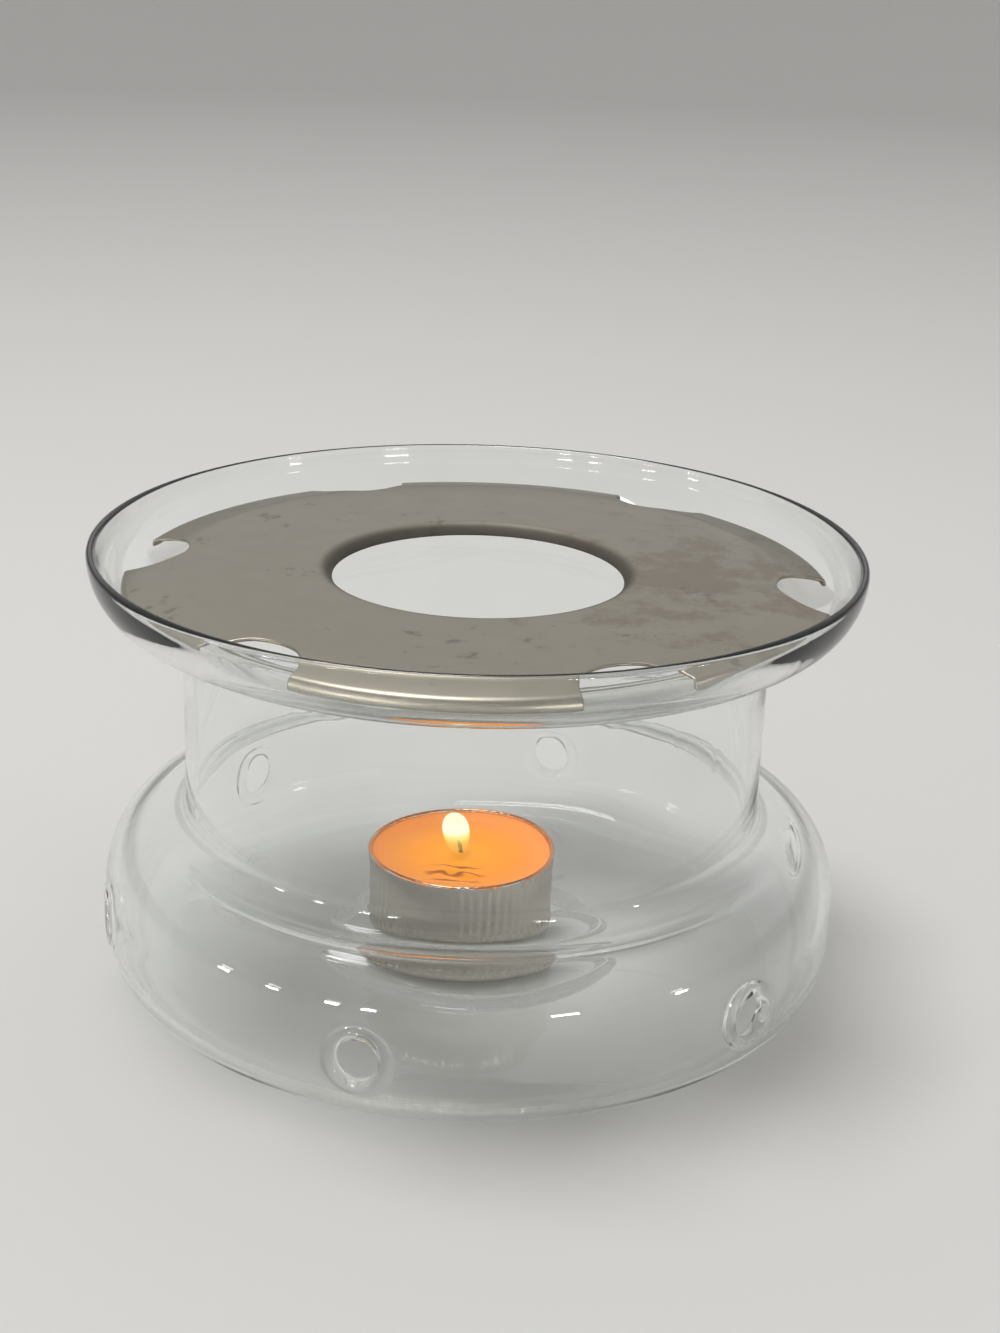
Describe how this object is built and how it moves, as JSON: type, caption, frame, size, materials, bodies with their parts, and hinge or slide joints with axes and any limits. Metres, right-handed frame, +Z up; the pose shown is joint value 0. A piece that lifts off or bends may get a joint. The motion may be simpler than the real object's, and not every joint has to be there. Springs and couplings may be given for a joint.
{
  "type": "teapot warmer",
  "caption": "Clear glass teapot warmer: a bulged burner chamber with air vents, a straight neck and a dish that carries a notched steel plate over a tea light.",
  "frame": {"origin": "centre of the flat foot, on the surface that the warmer stands on", "axes": "+Z up along the glass body's axis, -Y towards the front of the picture, +X to its right"},
  "size_m": [0.1484, 0.1484, 0.0879],
  "materials": {
    "glass_body": "clear blown glass, fire polished, faint grey-green at the edges",
    "support_plate": "satin stainless steel with brown heat stains",
    "candle_cup": "thin bright foil, crimped",
    "candle_wax": "orange candle wax, glowing round the wick",
    "candle_wick": "charred cotton",
    "wick_sustainer": "tinned sheet"
  },
  "bodies": {
    "glass": {"glass_body": "glass_body"},
    "plate": {"support_plate": "support_plate"},
    "candle": {"candle_cup": "candle_cup", "candle_wax": "candle_wax", "candle_wick": "candle_wick", "wick_sustainer": "wick_sustainer"}
  },
  "joints": [
    {"name": "plate_lift", "type": "slide", "parent": "glass", "child": "plate", "axis": [0, 0, 1], "range_m": [0, 0.06]},
    {"name": "candle_lift", "type": "slide", "parent": "glass", "child": "candle", "axis": [0, 0, 1], "range_m": [0, 0.09]}
  ]
}
